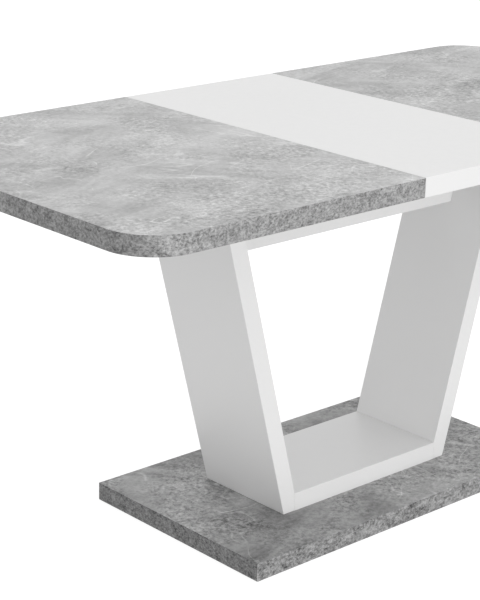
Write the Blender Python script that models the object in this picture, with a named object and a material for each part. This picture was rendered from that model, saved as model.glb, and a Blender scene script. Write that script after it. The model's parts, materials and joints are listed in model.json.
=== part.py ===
"""Extendable dining table.

A rounded top in two halves with a lift-out centre leaf, carried by geared slides on a pedestal of
slanted boards that stands on a flat slab.

Frame: metres, +X along the table's length, +Y to its back, +Z up, origin on the floor under its
centre. The table is modelled extended, with the leaf in place.
"""

import math

import bmesh
import bpy
from mathutils import Matrix

GAP = 0.0003  # clearance between pieces that touch
THROUGH = 0.001  # how far a cutter runs past the surface it opens

# Table top
TOP_HEIGHT = 0.750
TOP_THICKNESS = 0.035
TOP_DEPTH = 0.800
LEAF_WIDTH = 0.396
HALF_LENGTH = 0.606
SEAM_GAP = 0.0005
CORNER_RADIUS = 0.090
EDGE_ROUND = 0.0010  # rounding of every board's edges

# Slab and glides
GLIDE_RADIUS = 0.020
GLIDE_HEIGHT = 0.0020
GLIDE_PROUD = 0.0008  # how far a glide stands out of its recess in the slab's underside
GLIDE_CHAMFER = 0.0005
GLIDE_INSET = 0.040
SLAB_LENGTH = 0.801
SLAB_DEPTH = 0.460
SLAB_THICKNESS = 0.036

# Pedestal boards
BOARD = 0.036
PEDESTAL_DEPTH = 0.220
LEG_FOOT_OUTER = 0.2235  # outer face of a leg where it meets the slab
LEG_SLOPE = 0.268  # sideways travel of a leg per unit of height
LEG_WIDTH = 0.0376  # a leg's thickness measured horizontally
STRETCHER_THICKNESS = 0.019
STRETCHER_DROP = 0.177  # from the top's underside to the stretcher's lower edge
HOUSING_DEPTH = 0.006  # how far the stretcher is let into each leg

# Crossbeams on the legs
BEAM_THICKNESS = 0.030
BEAM_WIDTH = 0.120
BEAM_LENGTH = 0.470

# Runners and slides: sections measured from the runner's centre line and its underside
RUNNER_Y = 0.180
RUNNER_LENGTH = 0.900
RUNNER_SPACE = 0.022  # from the runner's underside to the top's underside
RUNNER_BASE = 0.0035
RUNNER_WALL = 0.003
WEB_WIDTH = 0.008
WINDOW_RELIEF = 0.0003  # the pinion's window is milled this much past the web
LIP_OVERLAP = 0.004
FLANGE_WIDTH = 0.022
FLANGE_HEIGHT = 0.0102
NECK_CLEARANCE = 0.0004
SLIDE_OUTER_END = 0.700
SLIDE_INNER_END = 0.058

# Rack and pinion
MODULE = 0.002
PINION_TEETH = 16
PRESSURE_ANGLE = math.radians(20)
RACK_ADDENDUM = 0.0017
PINION_ADDENDUM = 0.0020
ROOT_CLEARANCE = 0.0005
BACKLASH = 0.0004
RACK_BACKING = 0.004
GEAR_THICKNESS = 0.0090
PINION_BORE_RADIUS = 0.0043
PINION_WINDOW_CLEARANCE = 0.002
PIN_HEAD_OVERLAP = 0.0025
PIN_HEAD_HEIGHT = 0.0025
PIN_HEAD_CHAMFER = 0.0005
RACK_TEETH_OUTWARD = 37
RACK_TEETH_INWARD = 9

# Travel of each half: outwards to drop the leaf in, inwards once the leaf is out
TRAVEL_OUT = 0.030
TRAVEL_IN = LEAF_WIDTH / 2

# Hardware
BOLT_RADIUS = 0.004
BOLT_HEAD_RADIUS = 0.0065
BOLT_HEAD_HEIGHT = 0.008
BOLT_RECESS = 0.001  # from the slab's underside up to a bolt's head
BOLT_HEAD_CLEARANCE = 0.001
BOLT_X = 0.120
BOLT_Y = 0.060
BOLT_DEPTH = 0.024
DOWEL_RADIUS = 0.004
DOWEL_LENGTH = 0.036
DOWEL_CHAMFER = 0.001
DOWEL_Y = 0.070
SCREW_RADIUS = 0.0022
SCREW_HEAD_RADIUS = 0.0042
SCREW_HEAD_HEIGHT = 0.003
BEAM_SCREW_Y = 0.075
BEAM_SCREW_LENGTH = 0.062
BEAM_SCREW_AIM = 0.015  # depth in a leg at which a beam screw crosses the leg's middle
RUNNER_SCREW_ENTRY = 0.010
SLIDE_SCREW_X = (0.500, 0.660)
SLIDE_SCREW_ENTRY = 0.012
SLIDE_SCREW_RECESS = 0.0005
STOP_PIN_RADIUS = 0.003
STOP_PIN_X = 0.045
STOP_PIN_ENTRY = 0.007
PLATE_THICKNESS = 0.003
PLATE_WIDTH = 0.030
PLATE_EDGE = 0.0005
PLATE_UNDER_HALF = 0.055
PLATE_UNDER_LEAF = 0.032
LEFT_PLATE_Y = 0.300
RIGHT_PLATE_Y = 0.340

# Levels and widths that follow from the above
UNDERSIDE = TOP_HEIGHT - TOP_THICKNESS
SLAB_BOTTOM = GLIDE_PROUD
SLAB_TOP = SLAB_BOTTOM + SLAB_THICKNESS
FOOT_BOTTOM = SLAB_TOP + GAP
FOOT_TOP = FOOT_BOTTOM + BOARD
RUNNER_BOTTOM = UNDERSIDE - RUNNER_SPACE
BEAM_TOP = RUNNER_BOTTOM - GAP
BEAM_BOTTOM = BEAM_TOP - BEAM_THICKNESS
LEG_TOP = BEAM_BOTTOM - GAP
PITCH = math.pi * MODULE
PITCH_RADIUS = MODULE * PINION_TEETH / 2
RACK_TIP = PITCH_RADIUS - RACK_ADDENDUM
RACK_ROOT = PITCH_RADIUS + PINION_ADDENDUM + ROOT_CLEARANCE
RACK_BACK = RACK_ROOT + RACK_BACKING
FLANGE_INNER = RACK_BACK + GAP
FLANGE_OUTER = FLANGE_INNER + FLANGE_WIDTH
FLANGE_CENTRE = (FLANGE_INNER + FLANGE_OUTER) / 2
FLANGE_BOTTOM = RUNNER_BASE + GAP
FLANGE_TOP = FLANGE_BOTTOM + FLANGE_HEIGHT
LIP_BOTTOM = FLANGE_TOP + GAP
LIP_TOP = LIP_BOTTOM + RUNNER_WALL
INNER_LIP = FLANGE_INNER + LIP_OVERLAP
OUTER_LIP = FLANGE_OUTER - LIP_OVERLAP
RUNNER_HALF_WIDTH = FLANGE_OUTER + GAP + RUNNER_WALL
GEAR_BOTTOM = (RUNNER_BASE + LIP_BOTTOM - GEAR_THICKNESS) / 2

SIDES = {"left": -1, "right": 1}
ENDS = {"front": -1, "back": 1}


def material(name, colour, roughness, metallic=0.0):
    made = bpy.data.materials.new(name)
    made.use_nodes = True
    shader = made.node_tree.nodes["Principled BSDF"]
    shader.inputs["Base Color"].default_value = (*colour, 1.0)
    shader.inputs["Roughness"].default_value = roughness
    shader.inputs["Metallic"].default_value = metallic
    return made


def leg_outer(height):
    """Distance from the table's middle to a leg's outer face at a height."""
    return LEG_FOOT_OUTER + LEG_SLOPE * (height - SLAB_TOP)


def leg_inner(height):
    return leg_outer(height) - LEG_WIDTH


def extruded(outline, along):
    """A closed outline of 3-D points, swept along a vector."""
    shape = bmesh.new()
    face = shape.faces.new([shape.verts.new(point) for point in outline])
    swept = bmesh.ops.extrude_face_region(shape, geom=[face])
    verts = [item for item in swept["geom"] if isinstance(item, bmesh.types.BMVert)]
    bmesh.ops.translate(shape, verts=verts, vec=along)
    bmesh.ops.recalc_face_normals(shape, faces=shape.faces)
    return shape


def block(low, high):
    (x0, y0, z0), (x1, y1, z1) = low, high
    outline = [(x0, y0, z0), (x1, y0, z0), (x1, y1, z0), (x0, y1, z0)]
    return extruded(outline, (0, 0, z1 - z0))


def turned(profile, segments=20):
    """A profile of (radius, height) points, from axis to axis, turned about Z."""
    shape = bmesh.new()
    rings = []
    for radius, height in profile:
        if radius == 0:
            rings.append([shape.verts.new((0, 0, height))] * segments)
            continue
        angles = (math.tau * i / segments for i in range(segments))
        rings.append(
            [shape.verts.new((radius * math.cos(a), radius * math.sin(a), height)) for a in angles]
        )
    for lower, upper in zip(rings, rings[1:]):
        for i in range(segments):
            j = (i + 1) % segments
            corners = dict.fromkeys((lower[i], lower[j], upper[j], upper[i]))
            shape.faces.new(corners)
    bmesh.ops.recalc_face_normals(shape, faces=shape.faces)
    return shape


def cylinder(radius, low, high, segments=20):
    return turned([(0, low), (radius, low), (radius, high), (0, high)], segments)


def moved(shape, place, turn=None):
    if turn is not None:
        bmesh.ops.transform(shape, matrix=turn, verts=shape.verts)
    bmesh.ops.translate(shape, verts=shape.verts, vec=place)
    return shape


def rounded(shape, width=EDGE_ROUND, segments=2, butt=None):
    """Rounds every corner edge of a board, but for those at the distance `butt` from the table's
    middle, where it meets another board flush."""
    sharp = [edge for edge in shape.edges if edge.calc_face_angle() > math.radians(30)]
    if butt is not None:
        sharp = [e for e in sharp if any(abs(abs(v.co.x) - butt) > GAP for v in e.verts)]
    bmesh.ops.bevel(
        shape,
        geom=sharp,
        offset=width,
        offset_type="OFFSET",
        segments=segments,
        profile=0.5,
        affect="EDGES",
        clamp_overlap=True,
    )
    return shape


def add(name, shape, finish, place=(0, 0, 0)):
    """Makes a shape an object of its own. The shape is given about its place."""
    mesh = bpy.data.meshes.new(name)
    shape.to_mesh(mesh)
    shape.free()
    mesh.materials.append(finish)
    mesh.shade_smooth()
    mesh.set_sharp_from_angle(angle=math.radians(30))
    piece = bpy.data.objects.new(name, mesh)
    piece.location = place
    bpy.context.scene.collection.objects.link(piece)
    return piece


def cut(piece, shapes):
    """Takes shapes, given in the table's frame, out of a piece, one after another."""
    for shape in shapes:
        cutter_mesh = bpy.data.meshes.new("cutter")
        shape.to_mesh(cutter_mesh)
        shape.free()
        cutter = bpy.data.objects.new("cutter", cutter_mesh)
        bpy.context.scene.collection.objects.link(cutter)
        boolean = piece.modifiers.new("hole", "BOOLEAN")
        boolean.operation = "DIFFERENCE"
        boolean.solver = "EXACT"
        boolean.object = cutter
        bpy.context.view_layer.update()
        evaluated = piece.evaluated_get(bpy.context.evaluated_depsgraph_get())
        cut_mesh = bpy.data.meshes.new_from_object(evaluated)
        piece.modifiers.clear()
        old_mesh = piece.data
        piece.data = cut_mesh
        bpy.data.meshes.remove(old_mesh)
        bpy.data.objects.remove(cutter)
        bpy.data.meshes.remove(cutter_mesh)
        cut_mesh.name = piece.name


def rounded_half_outline(side):
    """Outline of one half of the top, seen from above: a rectangle with two round outer corners."""
    inner = LEAF_WIDTH / 2 + SEAM_GAP
    outer = inner + HALF_LENGTH
    edge = TOP_DEPTH / 2
    points = [(side * inner, -edge, 0)]
    steps = 14
    for start, centre_y in ((-90, -edge + CORNER_RADIUS), (0, edge - CORNER_RADIUS)):
        for i in range(steps + 1):
            angle = math.radians(start + 90 * i / steps)
            x = outer - CORNER_RADIUS + CORNER_RADIUS * math.cos(angle)
            points.append((side * x, centre_y + CORNER_RADIUS * math.sin(angle), 0))
    points.append((side * inner, edge, 0))
    return points


def screw(length, entry_up=True):
    """A pan-head wood screw about its head's outer face. It points up, or down."""
    profile = [
        (0, 0),
        (SCREW_HEAD_RADIUS * 0.8, 0),
        (SCREW_HEAD_RADIUS, SCREW_HEAD_HEIGHT * 0.3),
        (SCREW_HEAD_RADIUS, SCREW_HEAD_HEIGHT),
        (SCREW_RADIUS, SCREW_HEAD_HEIGHT),
        (SCREW_RADIUS, length - SCREW_RADIUS * 2),
        (0, length),
    ]
    shape = turned(profile, 12)
    if not entry_up:
        bmesh.ops.transform(shape, matrix=Matrix.Rotation(math.pi, 4, "X"), verts=shape.verts)
    return shape


def screw_hole(length, recess, entry_up=True):
    """The hole of a screw whose head sits `recess` below the surface."""
    head = SCREW_HEAD_RADIUS + GAP
    shank = SCREW_RADIUS + GAP
    shoulder = SCREW_HEAD_HEIGHT + GAP
    mouth = -recess - THROUGH
    profile = [(0, mouth), (head, mouth), (head, shoulder), (shank, shoulder)]
    profile += [(shank, length + 2 * GAP), (0, length + 2 * GAP)]
    shape = turned(profile, 12)
    if not entry_up:
        bmesh.ops.transform(shape, matrix=Matrix.Rotation(math.pi, 4, "X"), verts=shape.verts)
    return shape


def slide_y(side, end):
    """Centre line of a slide: the left half's slides run outside the right half's."""
    return end * (RUNNER_Y - side * FLANGE_CENTRE)


def top(finish_concrete, finish_white):
    for name, side in SIDES.items():
        shape = extruded(rounded_half_outline(side), (0, 0, TOP_THICKNESS))
        half = add(f"{name}_top", rounded(shape), finish_concrete, (0, 0, UNDERSIDE))
        holes = []
        for end in ENDS.values():
            for x in SLIDE_SCREW_X:
                depth = SLIDE_SCREW_ENTRY + 2 * GAP
                hole = cylinder(SCREW_RADIUS + GAP, -THROUGH, depth, 12)
                holes.append(moved(hole, (side * x, slide_y(side, end), UNDERSIDE)))
        cut(half, holes)
    low = (-LEAF_WIDTH / 2, -TOP_DEPTH / 2, 0)
    high = (LEAF_WIDTH / 2, TOP_DEPTH / 2, TOP_THICKNESS)
    add("centre_leaf", rounded(block(low, high)), finish_white, (0, 0, UNDERSIDE))


def leaf_plates(finish):
    """Steel plates under the halves that reach beneath the leaf. Left and right ones are staggered
    so that they pass each other when the table is closed."""
    inner = LEAF_WIDTH / 2 + SEAM_GAP
    rows = {"left": LEFT_PLATE_Y, "right": RIGHT_PLATE_Y}
    for name, side in SIDES.items():
        for end_name, end in ENDS.items():
            xs = sorted((side * (inner + PLATE_UNDER_HALF), side * (inner - PLATE_UNDER_LEAF)))
            low = (xs[0], -PLATE_WIDTH / 2, -PLATE_THICKNESS)
            high = (xs[1], PLATE_WIDTH / 2, 0)
            place = (0, end * rows[name], UNDERSIDE - GAP)
            shape = rounded(block(low, high), PLATE_EDGE, 1)
            add(f"{end_name}_{name}_leaf_plate", shape, finish, place)


def slab(finish):
    low = (-SLAB_LENGTH / 2, -SLAB_DEPTH / 2, 0)
    high = (SLAB_LENGTH / 2, SLAB_DEPTH / 2, SLAB_THICKNESS)
    return add("base_slab", rounded(block(low, high)), finish, (0, 0, SLAB_BOTTOM))


def glides(finish, slab_piece):
    """Discs half sunk in the slab's underside, on which the whole table stands."""
    recesses = []
    for name, side in SIDES.items():
        for end_name, end in ENDS.items():
            x = side * (SLAB_LENGTH / 2 - GLIDE_INSET)
            y = end * (SLAB_DEPTH / 2 - GLIDE_INSET)
            profile = [
                (0, 0),
                (GLIDE_RADIUS - GLIDE_CHAMFER, 0),
                (GLIDE_RADIUS, GLIDE_CHAMFER),
                (GLIDE_RADIUS, GLIDE_HEIGHT),
                (0, GLIDE_HEIGHT),
            ]
            add(f"{end_name}_{name}_glide", turned(profile, 24), finish, (x, y, 0))
            recess = cylinder(GLIDE_RADIUS + GAP, -THROUGH, GLIDE_HEIGHT + GAP, 24)
            recesses.append(moved(recess, (x, y, 0)))
    cut(slab_piece, recesses)


def leg_outline(side):
    corners = [
        (LEG_FOOT_OUTER, FOOT_BOTTOM),
        (leg_outer(LEG_TOP), LEG_TOP),
        (leg_inner(LEG_TOP), LEG_TOP),
        (leg_inner(FOOT_TOP), FOOT_TOP),
        (leg_inner(FOOT_TOP), FOOT_BOTTOM),
    ]
    return [(side * x, -PEDESTAL_DEPTH / 2, z) for x, z in corners]


def stretcher_outline(spread, high):
    """The stretcher's outline up to a height, with its slanting ends, grown by `spread`."""
    bottom = UNDERSIDE - STRETCHER_DROP - spread
    lower = leg_inner(bottom) + HOUSING_DEPTH - GAP + spread
    upper = leg_inner(high) + HOUSING_DEPTH - GAP + spread
    return [(-lower, 0, bottom), (lower, 0, bottom), (upper, 0, high), (-upper, 0, high)]


def stretcher_shape(spread=0, high=LEG_TOP):
    thickness = STRETCHER_THICKNESS + 2 * spread
    shape = extruded(stretcher_outline(spread, high), (0, thickness, 0))
    return moved(shape, (0, -thickness / 2, 0))


def foot_dowel():
    reach = DOWEL_LENGTH / 2
    profile = [
        (0, -reach),
        (DOWEL_RADIUS - DOWEL_CHAMFER, -reach),
        (DOWEL_RADIUS, -reach + DOWEL_CHAMFER),
        (DOWEL_RADIUS, reach - DOWEL_CHAMFER),
        (DOWEL_RADIUS - DOWEL_CHAMFER, reach),
        (0, reach),
    ]
    return turned(profile, 16)


def base_bolt(length):
    profile = [
        (0, 0),
        (BOLT_HEAD_RADIUS, 0),
        (BOLT_HEAD_RADIUS, BOLT_HEAD_HEIGHT),
        (BOLT_RADIUS, BOLT_HEAD_HEIGHT),
        (BOLT_RADIUS, length),
        (0, length),
    ]
    return turned(profile, 16)


def base_bolt_hole(length):
    mouth = -BOLT_RECESS - THROUGH
    shoulder = BOLT_HEAD_HEIGHT + GAP
    counterbore = BOLT_HEAD_RADIUS + BOLT_HEAD_CLEARANCE
    profile = [(0, mouth), (counterbore, mouth), (counterbore, shoulder)]
    profile += [(BOLT_RADIUS + GAP, shoulder), (BOLT_RADIUS + GAP, length + 2 * GAP)]
    profile += [(0, length + 2 * GAP)]
    return turned(profile, 16)


def leg_middle(height):
    return (leg_outer(height) + leg_inner(height)) / 2


def beam_screw_place(side, end):
    return (side * leg_middle(LEG_TOP - BEAM_SCREW_AIM), end * BEAM_SCREW_Y, BEAM_TOP - GAP)


def pedestal(finish, slab_piece, finish_dowel, finish_bolt):
    foot_end = leg_inner(FOOT_TOP) - GAP
    half = PEDESTAL_DEPTH / 2
    low = (-foot_end, -half, 0)
    board = rounded(block(low, (foot_end, half, BOARD)), butt=foot_end)
    foot = add("foot_board", board, finish, (0, 0, FOOT_BOTTOM))
    add("stretcher_board", stretcher_shape(), finish)

    foot_holes = []
    for name, side in SIDES.items():
        shape = extruded(leg_outline(side), (0, PEDESTAL_DEPTH, 0))
        leg = add(f"{name}_leg_panel", rounded(shape, butt=leg_inner(FOOT_TOP)), finish)
        leg_holes = [stretcher_shape(GAP, LEG_TOP + THROUGH)]
        for end_name, end in ENDS.items():
            along = Matrix.Rotation(math.pi / 2, 4, "Y")
            middle = (side * (foot_end + GAP / 2), end * DOWEL_Y, FOOT_BOTTOM + BOARD / 2)
            dowel = foot_dowel()
            bmesh.ops.transform(dowel, matrix=along, verts=dowel.verts)
            add(f"{end_name}_{name}_foot_dowel", dowel, finish_dowel, middle)
            reach = DOWEL_LENGTH / 2 + 2 * GAP
            for holes in (foot_holes, leg_holes):
                hole = cylinder(DOWEL_RADIUS + GAP, -reach, reach, 16)
                holes.append(moved(hole, middle, along))
            hole = screw_hole(BEAM_SCREW_LENGTH, GAP, entry_up=False)
            leg_holes.append(moved(hole, beam_screw_place(side, end)))
        cut(leg, leg_holes)

    slab_holes = []
    bolt_length = SLAB_THICKNESS - BOLT_RECESS + BOLT_DEPTH
    for name, side in SIDES.items():
        for end_name, end in ENDS.items():
            place = (side * BOLT_X, end * BOLT_Y, SLAB_BOTTOM + BOLT_RECESS)
            add(f"{end_name}_{name}_base_bolt", base_bolt(bolt_length), finish_bolt, place)
            for holes in (slab_holes, foot_holes):
                holes.append(moved(base_bolt_hole(bolt_length), place))
    cut(slab_piece, slab_holes)
    cut(foot, foot_holes)


def crossbeams(finish, finish_screw):
    """Boards across the legs' tops, screwed down into the legs and up into the runners."""
    for name, side in SIDES.items():
        centre = leg_middle(LEG_TOP)
        low = (side * centre - BEAM_WIDTH / 2, -BEAM_LENGTH / 2, 0)
        high = (side * centre + BEAM_WIDTH / 2, BEAM_LENGTH / 2, BEAM_THICKNESS)
        beam = add(f"{name}_crossbeam", rounded(block(low, high)), finish, (0, 0, BEAM_BOTTOM))
        holes = []
        for end_name, end in ENDS.items():
            place = beam_screw_place(side, end)
            shape = screw(BEAM_SCREW_LENGTH, entry_up=False)
            add(f"{end_name}_{name}_beam_screw", shape, finish_screw, place)
            holes.append(moved(screw_hole(BEAM_SCREW_LENGTH, GAP, entry_up=False), place))

            length = BEAM_THICKNESS - SCREW_HEAD_HEIGHT + RUNNER_SCREW_ENTRY
            place = runner_screw_place(side, end)
            add(f"{end_name}_{name}_runner_screw", screw(length), finish_screw, place)
            holes.append(moved(screw_hole(length, SCREW_HEAD_HEIGHT), place))
        cut(beam, holes)


def runner_screw_place(side, end):
    return (side * leg_middle(LEG_TOP), end * RUNNER_Y, BEAM_BOTTOM + SCREW_HEAD_HEIGHT)


def runner_section():
    """The runner's section as (y, z) points: a base, two lipped outer walls, and a T in the middle."""
    wall = RUNNER_HALF_WIDTH
    inside = wall - RUNNER_WALL
    web = WEB_WIDTH / 2
    right = [
        (wall, 0),
        (wall, LIP_TOP),
        (OUTER_LIP, LIP_TOP),
        (OUTER_LIP, LIP_BOTTOM),
        (inside, LIP_BOTTOM),
        (inside, RUNNER_BASE),
        (web, RUNNER_BASE),
        (web, LIP_BOTTOM),
        (INNER_LIP, LIP_BOTTOM),
        (INNER_LIP, LIP_TOP),
    ]
    left = [(-y, z) for y, z in reversed(right)]
    return right + left


def runners(finish):
    for end_name, end in ENDS.items():
        outline = [(-RUNNER_LENGTH / 2, y, z) for y, z in runner_section()]
        place = (0, end * RUNNER_Y, RUNNER_BOTTOM)
        runner = add(f"{end_name}_runner", extruded(outline, (RUNNER_LENGTH, 0, 0)), finish, place)

        window = PITCH_RADIUS + PINION_ADDENDUM + PINION_WINDOW_CLEARANCE
        low = (-window, -WEB_WIDTH, RUNNER_BASE - WINDOW_RELIEF)
        high = (window, WEB_WIDTH, LIP_BOTTOM + WINDOW_RELIEF)
        holes = [moved(block(low, high), place)]
        pin_hole = cylinder(PINION_BORE_RADIUS, -THROUGH, LIP_TOP + THROUGH)
        holes.append(moved(pin_hole, place))

        slot_low = STOP_PIN_X - TRAVEL_OUT - STOP_PIN_RADIUS - GAP
        slot_high = STOP_PIN_X + TRAVEL_IN + STOP_PIN_RADIUS + GAP
        slot_half = STOP_PIN_RADIUS + GAP
        low = (slot_low, -slot_half, -THROUGH)
        high = (slot_high, slot_half, RUNNER_BASE + THROUGH)
        holes.append(moved(block(low, high), (0, slide_y(-1, end), RUNNER_BOTTOM)))
        for side in SIDES.values():
            length = BEAM_THICKNESS - SCREW_HEAD_HEIGHT + RUNNER_SCREW_ENTRY
            holes.append(moved(screw_hole(length, 0), runner_screw_place(side, end)))
        cut(runner, holes)


def slides(finish, finish_screw, finish_pin):
    """Bars of inverted-T section that hang under the halves and run in the runners' channels."""
    neck_inner = INNER_LIP + NECK_CLEARANCE
    neck_outer = OUTER_LIP - NECK_CLEARANCE
    neck_top = RUNNER_SPACE - GAP
    section = [
        (FLANGE_INNER, FLANGE_BOTTOM),
        (FLANGE_OUTER, FLANGE_BOTTOM),
        (FLANGE_OUTER, FLANGE_TOP),
        (neck_outer, FLANGE_TOP),
        (neck_outer, neck_top),
        (neck_inner, neck_top),
        (neck_inner, FLANGE_TOP),
        (FLANGE_INNER, FLANGE_TOP),
    ]
    for name, side in SIDES.items():
        for end_name, end in ENDS.items():
            facing = -side * end
            outline = [(-side * SLIDE_INNER_END, facing * y, z) for y, z in section]
            shape = extruded(outline, (side * (SLIDE_OUTER_END + SLIDE_INNER_END), 0, 0))
            place = (0, end * RUNNER_Y, RUNNER_BOTTOM)
            bar = add(f"{end_name}_{name}_slide", shape, finish, place)

            holes = []
            head_level = RUNNER_BOTTOM + FLANGE_BOTTOM + SLIDE_SCREW_RECESS
            length = UNDERSIDE + SLIDE_SCREW_ENTRY - head_level
            for number, x in enumerate(SLIDE_SCREW_X, 1):
                spot = (side * x, slide_y(side, end), head_level)
                screw_name = f"{end_name}_{name}_slide_screw_{number}"
                add(screw_name, screw(length), finish_screw, spot)
                holes.append(moved(screw_hole(length, SLIDE_SCREW_RECESS), spot))
            if side == SIDES["left"]:
                pin_low = RUNNER_BOTTOM + GAP
                pin_length = RUNNER_BASE + STOP_PIN_ENTRY
                spot = (STOP_PIN_X, slide_y(side, end), pin_low)
                pin = cylinder(STOP_PIN_RADIUS, 0, pin_length, 16)
                add(f"{end_name}_stop_pin", pin, finish_pin, spot)
                hole = cylinder(STOP_PIN_RADIUS + GAP, 0, pin_length + 2 * GAP, 16)
                holes.append(moved(hole, spot))
            cut(bar, holes)


def rack_outline(side, facing):
    """A rack seen from above. A gap between teeth lies at the pinion, so it meshes at rest."""
    slope = math.tan(PRESSURE_ANGLE)
    half_tooth = PITCH / 4 - BACKLASH / 4
    at_tip = half_tooth - RACK_ADDENDUM * slope
    at_root = half_tooth + (RACK_ROOT - PITCH_RADIUS) * slope
    points = []
    for i in range(-RACK_TEETH_INWARD, RACK_TEETH_OUTWARD):
        centre = (i + 0.5) * PITCH
        points += [(centre - at_root, RACK_ROOT), (centre - at_tip, RACK_TIP)]
        points += [(centre + at_tip, RACK_TIP), (centre + at_root, RACK_ROOT)]
    first = -RACK_TEETH_INWARD * PITCH
    last = RACK_TEETH_OUTWARD * PITCH
    points += [(last, RACK_ROOT), (last, RACK_BACK), (first, RACK_BACK), (first, RACK_ROOT)]
    return [(side * x, facing * y, 0) for x, y in points]


def racks(finish):
    for name, side in SIDES.items():
        for end_name, end in ENDS.items():
            outline = rack_outline(side, -side * end)
            place = (0, end * RUNNER_Y, RUNNER_BOTTOM + GEAR_BOTTOM)
            shape = extruded(outline, (0, 0, GEAR_THICKNESS))
            add(f"{end_name}_{name}_rack", shape, finish, place)


def involute(angle):
    return math.tan(angle) - angle


def pinion_outline():
    """An involute gear with a tooth pointing straight at each rack."""
    base_radius = PITCH_RADIUS * math.cos(PRESSURE_ANGLE)
    tip_radius = PITCH_RADIUS + PINION_ADDENDUM
    root_radius = PITCH_RADIUS - RACK_ADDENDUM - ROOT_CLEARANCE
    half_at_pitch = (math.pi * MODULE / 2 - BACKLASH / 2) / (2 * PITCH_RADIUS)
    half_at_base = half_at_pitch + involute(PRESSURE_ANGLE)
    flank = [(root_radius, half_at_base)]
    steps = 4
    for i in range(steps + 1):
        radius = max(base_radius, root_radius)
        radius += (tip_radius - radius) * i / steps
        opened = math.acos(min(1.0, base_radius / radius))
        flank.append((radius, half_at_base - involute(opened)))
    points = []
    for tooth in range(PINION_TEETH):
        middle = math.pi / 2 + math.tau * tooth / PINION_TEETH
        rising = [(radius, middle - half) for radius, half in flank]
        falling = [(radius, middle + half) for radius, half in reversed(flank)]
        points += [(r * math.cos(a), r * math.sin(a), 0) for r, a in rising + falling]
    return points


def pinions(finish, finish_pin):
    """Each pinion turns on a shoulder pin that is held in the runner's base and its middle lip."""
    for end_name, end in ENDS.items():
        place = (0, end * RUNNER_Y, RUNNER_BOTTOM + GEAR_BOTTOM)
        shape = extruded(pinion_outline(), (0, 0, GEAR_THICKNESS))
        pinion = add(f"{end_name}_pinion", shape, finish, place)
        bore = cylinder(PINION_BORE_RADIUS, -THROUGH, GEAR_THICKNESS + THROUGH)
        cut(pinion, [moved(bore, place)])

        head_radius = PINION_BORE_RADIUS + PIN_HEAD_OVERLAP
        radius = PINION_BORE_RADIUS - GAP
        head_low = LIP_TOP + GAP
        head_high = head_low + PIN_HEAD_HEIGHT
        profile = [
            (0, GAP),
            (radius, GAP),
            (radius, head_low),
            (head_radius, head_low),
            (head_radius, head_high - PIN_HEAD_CHAMFER),
            (head_radius - PIN_HEAD_CHAMFER, head_high),
            (0, head_high),
        ]
        spot = (0, end * RUNNER_Y, RUNNER_BOTTOM)
        add(f"{end_name}_pinion_pin", turned(profile), finish_pin, spot)


def main():
    for item in list(bpy.data.objects):
        bpy.data.objects.remove(item)

    concrete_top = material("concrete_top", (0.46, 0.46, 0.45), 0.55)
    concrete_base = material("concrete_base", (0.27, 0.27, 0.265), 0.6)
    white = material("white_laminate", (0.80, 0.80, 0.79), 0.4)
    aluminium = material("aluminium", (0.72, 0.73, 0.74), 0.35, 1.0)
    steel = material("steel", (0.55, 0.56, 0.57), 0.3, 1.0)
    nylon = material("nylon", (0.75, 0.74, 0.70), 0.5)
    black_plastic = material("black_plastic", (0.03, 0.03, 0.03), 0.6)
    beech = material("beech", (0.66, 0.47, 0.29), 0.6)

    top(concrete_top, white)
    leaf_plates(steel)
    slab_piece = slab(concrete_base)
    glides(black_plastic, slab_piece)
    pedestal(white, slab_piece, beech, steel)
    crossbeams(white, steel)
    runners(aluminium)
    slides(aluminium, steel, steel)
    racks(nylon)
    pinions(nylon, steel)


main()
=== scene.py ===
"""Looks of the extendable dining table: materials, fine pieces, studio and camera."""

import json
import math

import bmesh
import bpy
from mathutils import Matrix, Vector


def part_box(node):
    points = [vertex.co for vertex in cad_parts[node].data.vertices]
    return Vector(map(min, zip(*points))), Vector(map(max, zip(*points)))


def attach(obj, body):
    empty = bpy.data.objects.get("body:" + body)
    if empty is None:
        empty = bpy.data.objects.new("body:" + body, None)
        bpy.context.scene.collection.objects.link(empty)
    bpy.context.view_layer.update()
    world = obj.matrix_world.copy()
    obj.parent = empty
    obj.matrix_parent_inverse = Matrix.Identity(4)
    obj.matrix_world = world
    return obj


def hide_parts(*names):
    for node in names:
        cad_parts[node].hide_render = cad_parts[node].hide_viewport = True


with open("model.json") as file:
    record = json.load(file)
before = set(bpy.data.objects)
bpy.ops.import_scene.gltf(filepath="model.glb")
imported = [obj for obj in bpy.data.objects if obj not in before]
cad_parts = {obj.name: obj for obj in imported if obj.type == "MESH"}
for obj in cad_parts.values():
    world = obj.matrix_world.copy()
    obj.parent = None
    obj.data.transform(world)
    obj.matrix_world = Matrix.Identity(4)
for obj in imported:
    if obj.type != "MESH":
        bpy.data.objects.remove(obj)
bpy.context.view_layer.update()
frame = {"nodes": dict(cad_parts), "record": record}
nodes = frame["nodes"]

ENDS = ("front", "back")
SIDES = ("left", "right")

# Camera, as the product shot was taken
CAMERA_PLACE = (-2.4316, -2.3818, 1.5142)
CAMERA_AZIMUTH = -42.533  # degrees; 0 looks along +Y
CAMERA_ELEVATION = 18.361
CAMERA_ROLL = 1.233
CAMERA_LENS = 110.093
SENSOR = 36.0

# Top boards
CORNER_RADIUS = 0.090
CORNER_STEPS = 40
EDGE_RADIUS = 0.0012

# Wood screws
SCREW_HEAD = 0.003
SCREW_SHANK = 0.0022
SCREW_PITCH = 0.0018
SCREW_SLOT = 0.0005  # half the width of the cross recess

# Base bolts
BOLT_HEAD = 0.008
BOLT_SHANK = 0.004
BOLT_THREAD_ROOT = 0.0034
BOLT_PITCH = 0.00125
BOLT_SOCKET = 0.0029
BOLT_SOCKET_DEPTH = 0.0045
BOLT_KNURLS = 36

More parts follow.
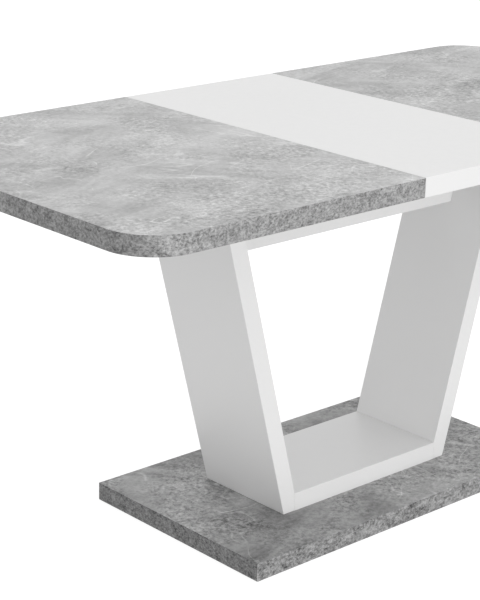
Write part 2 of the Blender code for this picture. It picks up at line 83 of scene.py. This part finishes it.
# Leaf plates
PLATE_CORNER = 0.006
PLATE_CORNER_STEPS = 8
PLATE_EDGE = 0.0003
PLATE_SCREW_INSETS = (0.012, 0.036)
PLATE_SCREW_SLOT = 0.0004
PLATE_SCREW_REACH = 0.0021

UNDER = -0.001  # where a cutting tool starts, below the face that it cuts


# ---------------------------------------------------------------- node helpers


class Graph:
    """Short names for building one material's node tree."""

    def __init__(self, name):
        self.material = bpy.data.materials.new(name)
        self.material.use_nodes = True
        self.tree = self.material.node_tree
        self.shader = self.tree.nodes["Principled BSDF"]
        self.place = self.tree.nodes.new("ShaderNodeTexCoord").outputs["Object"]

    def node(self, kind, **settings):
        made = self.tree.nodes.new(f"ShaderNode{kind}")
        for key, value in settings.items():
            setattr(made, key, value)
        return made

    def link(self, source, target):
        self.tree.links.new(source, target)

    def feed(self, node, inputs):
        """Sets a node's inputs: a socket is linked and anything else is a value."""
        for key, value in inputs.items():
            if isinstance(value, bpy.types.NodeSocket):
                self.link(value, node.inputs[key])
            else:
                node.inputs[key].default_value = value

    def stretched(self, scale):
        mapping = self.node("Mapping")
        self.feed(mapping, {"Vector": self.place, "Scale": scale})
        return mapping.outputs["Vector"]

    def drawn_out(self, degrees, length):
        """Coordinates that draw a pattern out along one level direction."""
        mapping = self.node("Mapping", vector_type="TEXTURE")
        turn = (0.0, 0.0, math.radians(degrees))
        self.feed(mapping, {"Vector": self.place, "Rotation": turn, "Scale": (length, 1.0, 1.0)})
        return mapping.outputs["Vector"]

    def noise(self, scale, detail=2.0, roughness=0.5, distortion=0.0, vector=None):
        made = self.node("TexNoise")
        inputs = {"Scale": scale, "Detail": detail, "Roughness": roughness}
        inputs |= {"Distortion": distortion, "Vector": vector or self.place}
        self.feed(made, inputs)
        return made.outputs["Fac"]

    def math(self, operation, *values, clamp=False):
        made = self.node("Math", operation=operation, use_clamp=clamp)
        self.feed(made, dict(enumerate(values)))
        return made.outputs["Value"]

    def ranged(self, value, low, high, to_low=0.0, to_high=1.0):
        made = self.node("MapRange")
        inputs = {"Value": value, "From Min": low, "From Max": high}
        inputs |= {"To Min": to_low, "To Max": to_high}
        self.feed(made, inputs)
        return made.outputs["Result"]

    def swing(self, value, amount):
        """Noise turned into a swing of up to `amount` either way."""
        return self.ranged(value, 0.3, 0.7, -amount, amount)

    def sum(self, first, *rest):
        total = first
        for value in rest:
            total = self.math("ADD", total, value)
        return total

    def mixed(self, share, first, second):
        made = self.node("Mix", data_type="RGBA")
        for index, value in ((0, share), (6, first), (7, second)):
            if isinstance(value, bpy.types.NodeSocket):
                self.link(value, made.inputs[index])
            else:
                made.inputs[index].default_value = value
        return made.outputs[2]

    def scaled(self, colour, factor):
        """A plain colour multiplied by a number that varies over the surface."""
        made = self.node("VectorMath", operation="SCALE")
        self.feed(made, {0: colour[:3], "Scale": factor})
        return made.outputs["Vector"]

    def bump(self, height, strength, distance):
        made = self.node("Bump")
        self.feed(made, {"Height": height, "Strength": strength, "Distance": distance})
        self.link(made.outputs["Normal"], self.shader.inputs["Normal"])

    def set(self, **inputs):
        self.feed(self.shader, {key.replace("_", " "): value for key, value in inputs.items()})


def grey(level, warmth=0.0):
    return (level * (1 + warmth), level, level * (1 - warmth), 1.0)


# ---------------------------------------------------------------- materials


def concrete(name, face_level, edge_level, contrast, painted_arris_highlight, end_painted_shade):
    """Concrete-look laminate: cloudy, trowelled and finely mottled on its faces, with a few pale
    scratches, and coarsely speckled on its edge bands. The bands at the board's ends carry painted
    shade, darker than the long ones, and a painted highlight may be put where two bands meet."""
    g = Graph(name)
    normal = g.node("SeparateXYZ")
    g.link(g.node("TexCoord").outputs["Normal"], normal.inputs["Vector"])
    on_edge = g.ranged(g.math("ABSOLUTE", normal.outputs["Z"]), 0.75, 0.45)

    clouds = g.swing(g.noise(2.6, 4.0, 0.5, 0.6), 0.12 * contrast)
    patches = g.swing(g.noise(12.0, 6.0, 0.6, 0.4), 0.15 * contrast)
    one_way = g.noise(15.0, 5.0, 0.6, 0.9, g.drawn_out(22, 5.0))
    other_way = g.noise(17.0, 5.0, 0.6, 0.9, g.drawn_out(-48, 5.0))
    chosen = g.mixed(g.ranged(g.noise(4.0, 3.0), 0.46, 0.54), one_way, other_way)
    strokes = g.swing(chosen, 0.20 * contrast)
    density = g.ranged(g.noise(7.0, 3.0, 0.5, 0.5), 0.38, 0.62, 0.35, 1.25)
    mottle = g.math("MULTIPLY", g.swing(g.noise(125.0, 4.0, 0.75, 0.3), 0.42 * contrast), density)
    tone = g.sum(1.0, clouds, patches, strokes, mottle)

    scratches = []
    for angle, share in ((28, 0.36), (-36, 0.30), (62, 0.26), (-80, 0.26)):
        level = g.noise(5.0 + angle / 100, 2.0, 0.45, 0.9, g.drawn_out(angle, 2.2))
        line = g.ranged(g.math("ABSOLUTE", g.math("SUBTRACT", level, 0.5)), 0.0045, 0.0010)
        kept = g.ranged(g.noise(9.5 + angle / 50, 1.0), 0.54, 0.62)
        scratches.append(g.math("MULTIPLY", g.math("MULTIPLY", line, kept), share * contrast))
    scratched = g.sum(*scratches)
    face = g.scaled(grey(face_level), g.sum(tone, scratched))

    upright = g.stretched((1.0, 1.0, 1.3))
    edge_contrast = 0.6 + 0.4 * contrast
    speckle = g.swing(g.noise(185.0, 2.0, 0.8, 0.0, upright), 0.62 * edge_contrast)
    blots = g.swing(g.noise(55.0, 4.0, 0.65, 0.5, upright), 0.44 * edge_contrast)
    # Painted highlight: the rounded upright arris where two edge bands meet is made paler.
    across = g.math("ABSOLUTE", g.math("MULTIPLY", normal.outputs["X"], normal.outputs["Y"]))
    arris_highlight_paint = g.ranged(across, 0.2, 0.45, 0.0, painted_arris_highlight)
    # Painted shade: edge bands facing the board's ends (along X) are made darker than the long ones,
    # standing in for the light they get.
    end_painted_shade_factor = g.ranged(g.math("ABSOLUTE", normal.outputs["X"]), 0.5, 0.9, 1.0, 1.0 - end_painted_shade)
    banded = g.math("MULTIPLY", g.sum(1.0, speckle, blots), end_painted_shade_factor)
    edge = g.scaled(grey(edge_level), g.sum(banded, arris_highlight_paint))

    g.link(g.mixed(on_edge, face, edge), g.shader.inputs["Base Color"])
    g.set(Roughness=g.ranged(g.noise(30.0, 4.0), 0.3, 0.7, 0.44, 0.62))
    g.bump(g.sum(g.noise(160.0, 4.0, 0.7), g.math("MULTIPLY", scratched, 4.0)), 0.25, 0.0004)
    return g.material


def laminate(name, level):
    """Smooth white board with the faint unevenness of its pressed skin."""
    g = Graph(name)
    drift = g.ranged(g.noise(2.5, 3.0), 0.3, 0.7, 0.992, 1.008)
    g.link(g.scaled(grey(level, 0.002), drift), g.shader.inputs["Base Color"])
    g.set(Roughness=g.ranged(g.noise(60.0, 3.0), 0.3, 0.7, 0.36, 0.46))
    g.bump(g.noise(420.0, 2.0), 0.06, 0.0002)
    return g.material


def drawn_metal(name, level, roughness, along):
    """Metal with fine lines along the direction that it was extruded or rolled in."""
    g = Graph(name)
    scale = tuple(4.0 if axis == along else 900.0 for axis in "xyz")
    lines = g.noise(1.0, 3.0, 0.6, 0.0, g.stretched(scale))
    stain = g.noise(9.0, 3.0)
    tone = g.math("ADD", g.ranged(lines, 0.3, 0.7, 0.92, 1.05), g.ranged(stain, 0.3, 0.7, -0.04, 0.03))
    g.link(g.scaled(grey(level), tone), g.shader.inputs["Base Color"])
    g.set(Metallic=1.0, Roughness=g.ranged(lines, 0.3, 0.7, roughness * 0.8, roughness * 1.3))
    g.bump(lines, 0.15, 0.0001)
    return g.material


def zinc(name):
    """Zinc-plated steel: small cloudy crystals and a satin gloss."""
    g = Graph(name)
    cloud = g.noise(260.0, 3.0, 0.6)
    tone = g.ranged(cloud, 0.3, 0.7, 0.86, 1.08)
    g.link(g.scaled(grey(0.56, -0.01), tone), g.shader.inputs["Base Color"])
    g.set(Metallic=1.0, Roughness=g.ranged(cloud, 0.3, 0.7, 0.24, 0.42))
    g.bump(cloud, 0.08, 0.0001)
    return g.material


def moulded(name, colour, roughness):
    """Moulded plastic with a fine spark-eroded texture."""
    g = Graph(name)
    texture = g.noise(700.0, 2.0, 0.6)
    g.link(g.scaled(colour, g.ranged(texture, 0.3, 0.7, 0.94, 1.05)), g.shader.inputs["Base Color"])
    g.set(Roughness=g.ranged(g.noise(90.0, 2.0), 0.3, 0.7, roughness - 0.06, roughness + 0.08))
    g.bump(texture, 0.12, 0.0001)
    return g.material


def beech(name):
    g = Graph(name)
    grain = g.noise(1.0, 4.0, 0.6, 0.4, g.stretched((30.0, 500.0, 500.0)))
    colour = g.mixed(g.ranged(grain, 0.3, 0.7), (0.55, 0.36, 0.21, 1.0), (0.72, 0.53, 0.35, 1.0))
    g.link(colour, g.shader.inputs["Base Color"])
    g.set(Roughness=g.ranged(grain, 0.3, 0.7, 0.55, 0.7))
    g.bump(grain, 0.2, 0.0002)
    return g.material


# In each concrete, the last but one number is the painted highlight on the upright arris and the last
# is the painted shade on the end bands.
MATERIALS = {
    "concrete_top": concrete("concrete_top_look", 0.451, 0.279, 1.0, 0.0, 0.26),
    "concrete_base": concrete("concrete_base_look", 0.309, 0.225, 1.55, 1.2, 0.38),
    "white_laminate": laminate("white_laminate_look", 0.78),
    "aluminium": drawn_metal("aluminium_look", 0.74, 0.30, "x"),
    "steel": zinc("zinc_look"),
    "nylon": moulded("nylon_look", (0.74, 0.73, 0.68, 1.0), 0.45),
    "glide_plastic": moulded("glide_plastic_look", (0.035, 0.035, 0.036, 1.0), 0.55),
    "beech": beech("beech_look"),
}


def finish_nodes():
    for part in frame["record"]["subparts"]:
        mesh = nodes[part["node"]].data
        mesh.materials.clear()
        mesh.materials.append(MATERIALS[part["material_slot"]])


# ---------------------------------------------------------------- pieces


def piece(name, shape, slot, body, *stands_for, smooth_angle=30):
    """Makes a mesh piece from a bmesh, in the frame's own coordinates."""
    mesh = bpy.data.meshes.new(name)
    shape.to_mesh(mesh)
    shape.free()
    mesh.materials.append(MATERIALS[slot])
    mesh.shade_smooth()
    mesh.set_sharp_from_angle(angle=math.radians(smooth_angle))
    made = bpy.data.objects.new(name, mesh)
    bpy.context.scene.collection.objects.link(made)
    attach(made, body)
    if stands_for:
        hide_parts(*stands_for)
    return made


def top_half(side):
    """One half of the top, with the CAD board's outline but finer corners and edges."""
    low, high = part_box(f"{side}_top")
    sign = -1 if side == "left" else 1
    inner, outer = sorted((low.x, high.x), key=lambda x: sign * x)
    points = [(inner, low.y, low.z)]
    for start, centre_y in ((-90, low.y + CORNER_RADIUS), (0, high.y - CORNER_RADIUS)):
        for i in range(CORNER_STEPS + 1):
            angle = math.radians(start + 90 * i / CORNER_STEPS)
            x = outer - sign * CORNER_RADIUS + sign * CORNER_RADIUS * math.cos(angle)
            points.append((x, centre_y + CORNER_RADIUS * math.sin(angle), low.z))
    points.append((inner, high.y, low.z))
    shape = bmesh.new()
    face = shape.faces.new([shape.verts.new(point) for point in points])
    swept = bmesh.ops.extrude_face_region(shape, geom=[face])
    verts = [item for item in swept["geom"] if isinstance(item, bmesh.types.BMVert)]
    bmesh.ops.translate(shape, verts=verts, vec=(0, 0, high.z - low.z))
    bmesh.ops.recalc_face_normals(shape, faces=shape.faces)
    sharp = [edge for edge in shape.edges if edge.calc_face_angle() > math.radians(30)]
    bmesh.ops.bevel(
        shape, geom=sharp, offset=EDGE_RADIUS, segments=4,
        profile=0.5, affect="EDGES", clamp_overlap=True,
    )
    return piece(f"{side}_top_board", shape, "concrete_top", f"{side}_half", f"{side}_top")


def turned(profile, segments):
    """A profile of (radius, height) points, from axis to axis, turned about Z."""
    shape = bmesh.new()
    rings = []
    for radius, height in profile:
        if radius == 0:
            rings.append([shape.verts.new((0, 0, height))] * segments)
            continue
        angles = (math.tau * i / segments for i in range(segments))
        points = ((radius * math.cos(a), radius * math.sin(a), height) for a in angles)
        rings.append([shape.verts.new(point) for point in points])
    for lower, upper in zip(rings, rings[1:]):
        for i in range(segments):
            j = (i + 1) % segments
            shape.faces.new(dict.fromkeys((lower[i], lower[j], upper[j], upper[i])))
    bmesh.ops.recalc_face_normals(shape, faces=shape.faces)
    return shape


def prism(outline, low, high):
    """A level outline of (x, y) points between two heights."""
    shape = bmesh.new()
    face = shape.faces.new([shape.verts.new((x, y, low)) for x, y in outline])
    swept = bmesh.ops.extrude_face_region(shape, geom=[face])
    verts = [item for item in swept["geom"] if isinstance(item, bmesh.types.BMVert)]
    bmesh.ops.translate(shape, verts=verts, vec=(0, 0, high - low))
    bmesh.ops.recalc_face_normals(shape, faces=shape.faces)
    return shape


def without(shape, *tools):
    """The shape with tools taken out of it."""
    for tool in tools:
        objects = []
        for source in (shape, tool):
            mesh = bpy.data.meshes.new("shaping")
            source.to_mesh(mesh)
            source.free()
            objects.append(bpy.data.objects.new("shaping", mesh))
            bpy.context.scene.collection.objects.link(objects[-1])
        boolean = objects[0].modifiers.new("hole", "BOOLEAN")
        boolean.operation, boolean.solver, boolean.object = "DIFFERENCE", "EXACT", objects[1]
        bpy.context.view_layer.update()
        evaluated = objects[0].evaluated_get(bpy.context.evaluated_depsgraph_get())
        shape = bmesh.new()
        shape.from_mesh(evaluated.to_mesh())
        evaluated.to_mesh_clear()
        for item in objects:
            mesh = item.data
            bpy.data.objects.remove(item)
            bpy.data.meshes.remove(mesh)
    return shape


def placed(shape, place, upside_down=False):
    if upside_down:
        turn = Matrix.Rotation(math.pi, 4, "X")
        bmesh.ops.transform(shape, matrix=turn, verts=shape.verts)
    bmesh.ops.translate(shape, verts=shape.verts, vec=place)
    return shape


def cross_recess(half, reach, depth):
    """A tool in the shape of a cross, for a screw head whose face is at height 0."""
    outline = [
        (half, half), (half, reach), (-half, reach), (-half, half),
        (-reach, half), (-reach, -half), (-half, -half), (-half, -reach),
        (half, -reach), (half, -half), (reach, -half), (reach, half),
    ]
    return prism(outline, UNDER, depth)


def wood_screw(head_radius, head_height, shank_radius, length):
    """A pan-head screw with a cross recess and a ringed thread, its head's face at height 0."""
    profile = [(0, 0)]
    dome = 6
    for i in range(1, dome + 1):
        angle = math.radians(90 * i / dome)
        profile.append((head_radius * math.sin(angle), head_height * 0.6 * (1 - math.cos(angle))))
    profile += [(head_radius, head_height), (shank_radius, head_height)]
    root = shank_radius * 0.72
    height = head_height + 0.003
    while height < length - 0.006:
        crest, foot = height + SCREW_PITCH * 0.45, height + SCREW_PITCH * 0.6
        profile += [(root, height), (shank_radius, crest), (root, foot)]
        height += SCREW_PITCH
    profile += [(root, length - 0.004), (0, length)]
    recess = cross_recess(SCREW_SLOT, head_radius * 0.55, head_height * 0.6)
    return without(turned(profile, 32), recess)


def screws():
    """Every wood screw of the CAD, with the drive and thread that a real one has."""
    for node in sorted(nodes):
        if not node.endswith(("_beam_screw", "_runner_screw", "_slide_screw_1", "_slide_screw_2")):
            continue
        low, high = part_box(node)
        radius = (high.x - low.x) / 2
        shape = wood_screw(radius, SCREW_HEAD, SCREW_SHANK, high.z - low.z)
        down = node.endswith("_beam_screw")
        centre = ((low.x + high.x) / 2, (low.y + high.y) / 2, high.z if down else low.z)
        body = "pedestal"
        for side in SIDES:
            if f"_{side}_slide_screw" in node:
                body = f"{side}_half"
        piece(f"{node}_fine", placed(shape, centre, down), "steel", body, node)


def base_bolts():
    """Cap screws with a hexagon socket and a knurled head, seen from below the slab."""
    for side in SIDES:
        for end in ENDS:
            node = f"{end}_{side}_base_bolt"
            low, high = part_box(node)
            radius = (high.x - low.x) / 2
            outline = []
            for i in range(2 * BOLT_KNURLS):
                angle = math.tau * i / (2 * BOLT_KNURLS)
                reach = radius - (0.0002 if i % 2 else 0.0)
                outline.append((reach * math.cos(angle), reach * math.sin(angle)))
            head = prism(outline, 0.0006, BOLT_HEAD)
            top = BOLT_HEAD - 0.0002
            rim = [(0, 0), (radius - 0.0010, 0), (radius - 0.0002, 0.0006), (radius - 0.0002, top)]
            rim += [(BOLT_SHANK, top)]
            height = 0.012
            while height < high.z - low.z - 0.002:
                rim += [(BOLT_THREAD_ROOT, height), (BOLT_SHANK, height + 0.0005)]
                rim += [(BOLT_THREAD_ROOT, height + 0.0010)]
                height += BOLT_PITCH
            rim += [(0.0030, high.z - low.z), (0, high.z - low.z)]
            angles = [math.tau * i / 6 for i in range(6)]
            socket = [(BOLT_SOCKET * math.cos(a), BOLT_SOCKET * math.sin(a)) for a in angles]
            shank = without(turned(rim, 32), prism(socket, UNDER, BOLT_SOCKET_DEPTH))
            head = without(head, prism(socket, UNDER, BOLT_SOCKET_DEPTH))
            spare = bpy.data.meshes.new("spare")
            head.to_mesh(spare)
            head.free()
            shank.from_mesh(spare)
            bpy.data.meshes.remove(spare)
            centre = ((low.x + high.x) / 2, (low.y + high.y) / 2, low.z)
            piece(f"{node}_fine", placed(shank, centre), "steel", "pedestal", node)


def glides():
    """Turned plastic glides with a ringed underside."""
    for side in SIDES:
        for end in ENDS:
            node = f"{end}_{side}_glide"
            low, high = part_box(node)
            radius, thick = (high.x - low.x) / 2, high.z - low.z
            profile = [(0, 0.0003), (0.004, 0.0003)]
            for inner in (0.0045, 0.0085, 0.0125):
                profile += [(inner, 0), (inner + 0.0030, 0), (inner + 0.0034, 0.0003)]
            profile += [(radius - 0.0030, 0), (radius - 0.0007, 0.0001), (radius, 0.0007)]
            profile += [(radius, thick - 0.0003), (radius - 0.0003, thick), (0, thick)]
            centre = ((low.x + high.x) / 2, (low.y + high.y) / 2, low.z)
            shape = placed(turned(profile, 64), centre)
            piece(f"{node}_ringed", shape, "glide_plastic", "pedestal", node)


def plate_outline(low, high):
    """The plan of a leaf plate, with rounded corners."""
    outline = []
    corners = ((high.x, high.y), (low.x, high.y), (low.x, low.y), (high.x, low.y))
    for turn, (x, y) in enumerate(corners):
        centre_x = x - PLATE_CORNER if x == high.x else x + PLATE_CORNER
        centre_y = y - PLATE_CORNER if y == high.y else y + PLATE_CORNER
        for i in range(PLATE_CORNER_STEPS + 1):
            angle = math.radians(90 * turn + 90 * i / PLATE_CORNER_STEPS)
            x_reach, y_reach = PLATE_CORNER * math.cos(angle), PLATE_CORNER * math.sin(angle)
            outline.append((centre_x + x_reach, centre_y + y_reach))
    return outline


def countersink():
    profile = [(0, UNDER), (0.0046, UNDER), (0.0046, 0.0), (0.0026, 0.0022)]
    return turned(profile + [(0.0026, 0.005), (0, 0.005)], 32)


def plate_screw():
    profile = [(0, 0.0003), (0.0040, 0.0003), (0.0042, 0.0005), (0.0022, 0.0024)]
    head = turned(profile + [(0.0018, 0.0028), (0, 0.0028)], 32)
    return without(head, cross_recess(PLATE_SCREW_SLOT, PLATE_SCREW_REACH, 0.0016))


def leaf_plates():
    """Plates with rounded corners, each held to its half by two countersunk screws."""
    for side in SIDES:
        sign = -1 if side == "left" else 1
        for end in ENDS:
            node = f"{end}_{side}_leaf_plate"
            low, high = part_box(node)
            plate = prism(plate_outline(low, high), low.z, high.z)
            outer = high.x if sign > 0 else low.x
            middle = (low.y + high.y) / 2
            spots = [(outer - sign * inset, middle) for inset in PLATE_SCREW_INSETS]
            for spot in spots:
                plate = without(plate, placed(countersink(), (*spot, low.z)))
            edges = [edge for edge in plate.edges if edge.calc_face_angle(0) > math.radians(60)]
            level = [e for e in edges if abs(e.verts[0].co.z - e.verts[1].co.z) < 1e-6]
            rim = [e for e in level if e.calc_length() > 2 * PLATE_EDGE]
            bmesh.ops.bevel(
                plate, geom=rim, offset=PLATE_EDGE, segments=2, affect="EDGES", clamp_overlap=True
            )
            piece(f"{node}_drilled", plate, "steel", f"{side}_half", node)
            for number, spot in enumerate(spots, 1):
                name = f"{end}_{side}_leaf_plate_screw_{number}"
                piece(name, placed(plate_screw(), (*spot, low.z)), "steel", f"{side}_half")


# ---------------------------------------------------------------- studio


def stage():
    """A pale floor, swept up into a backdrop far off. It glows, and throws no diffuse light back on
    the table: the world's lower half stands for that."""
    profile = [(0, 0), (36, 0), (38, 0.5), (39.5, 2), (40, 4), (40, 30)]
    shape = turned(profile, 96)
    mesh = bpy.data.meshes.new("floor")
    shape.to_mesh(mesh)
    shape.free()
    mesh.shade_smooth()
    floor = bpy.data.objects.new("floor", mesh)
    bpy.context.scene.collection.objects.link(floor)
    made = bpy.data.materials.new("floor_look")
    made.use_nodes = True
    shader = made.node_tree.nodes["Principled BSDF"]
    shader.inputs["Base Color"].default_value = grey(0.30)
    shader.inputs["Roughness"].default_value = 0.9
    shader.inputs["Specular IOR Level"].default_value = 0.0
    shader.inputs["Emission Color"].default_value = grey(1.0)
    shader.inputs["Emission Strength"].default_value = 0.85
    mesh.materials.append(made)
    floor.visible_diffuse = False
    floor.visible_shadow = False
    made.cycles.emission_sampling = "NONE"


def area_light(name, place, target, size, power):
    data = bpy.data.lights.new(name, "AREA")
    data.shape = "SQUARE"
    data.size = size
    data.energy = power
    lamp = bpy.data.objects.new(name, data)
    lamp.location = place
    lamp.rotation_euler = (Vector(target) - Vector(place)).to_track_quat("-Z", "Y").to_euler()
    bpy.context.scene.collection.objects.link(lamp)


def world_light(left_above, right_above, left_below, right_below):
    """Soft light from all round, as bright floors and walls give, with four strengths."""
    world = bpy.data.worlds.new("studio")
    world.use_nodes = True
    tree = world.node_tree
    direction = tree.nodes.new("ShaderNodeSeparateXYZ")
    sky = tree.nodes.new("ShaderNodeTexCoord").outputs["Generated"]
    tree.links.new(sky, direction.inputs["Vector"])

    def blend(axis, low, high, to_low, to_high):
        made = tree.nodes.new("ShaderNodeMapRange")
        tree.links.new(direction.outputs[axis], made.inputs["Value"])
        values = {"From Min": low, "From Max": high, "To Min": to_low, "To Max": to_high}
        for key, value in values.items():
            if isinstance(value, bpy.types.NodeSocket):
                tree.links.new(value, made.inputs[key])
            else:
                made.inputs[key].default_value = value
        return made.outputs["Result"]

    upper = blend("X", -1.0, 0.2, left_above, right_above)
    lower = blend("X", -1.0, 0.2, left_below, right_below)
    background = tree.nodes["Background"]
    background.inputs["Color"].default_value = grey(1.0)
    tree.links.new(blend("Z", -0.1, 0.1, lower, upper), background.inputs["Strength"])
    bpy.context.scene.world = world


def lighting():
    world_light(0.74, 0.99, 0.85, 0.37)
    area_light("front", (-0.5, -5.0, 0.9), (0, 0, 0.3), 3.0, 94)
    bpy.context.scene.view_settings.view_transform = "Standard"


def camera():
    azimuth, elevation = math.radians(CAMERA_AZIMUTH), math.radians(CAMERA_ELEVATION)
    roll = math.radians(CAMERA_ROLL)
    level = math.cos(elevation)
    back = Vector((math.sin(azimuth) * level, -math.cos(azimuth) * level, math.sin(elevation)))
    right = Vector((math.cos(azimuth), math.sin(azimuth), 0))
    up = back.cross(right)
    turned_right = right * math.cos(roll) + up * math.sin(roll)
    turned_up = up * math.cos(roll) - right * math.sin(roll)
    data = bpy.data.cameras.new("camera")
    data.lens = CAMERA_LENS
    data.sensor_width = SENSOR
    made = bpy.data.objects.new("camera", data)
    axes = Matrix((turned_right, turned_up, back)).transposed().to_4x4()
    made.matrix_world = Matrix.Translation(CAMERA_PLACE) @ axes
    bpy.context.scene.collection.objects.link(made)
    bpy.context.scene.camera = made


finish_nodes()
for table_side in SIDES:
    top_half(table_side)
screws()
base_bolts()
glides()
leaf_plates()
stage()
lighting()
camera()
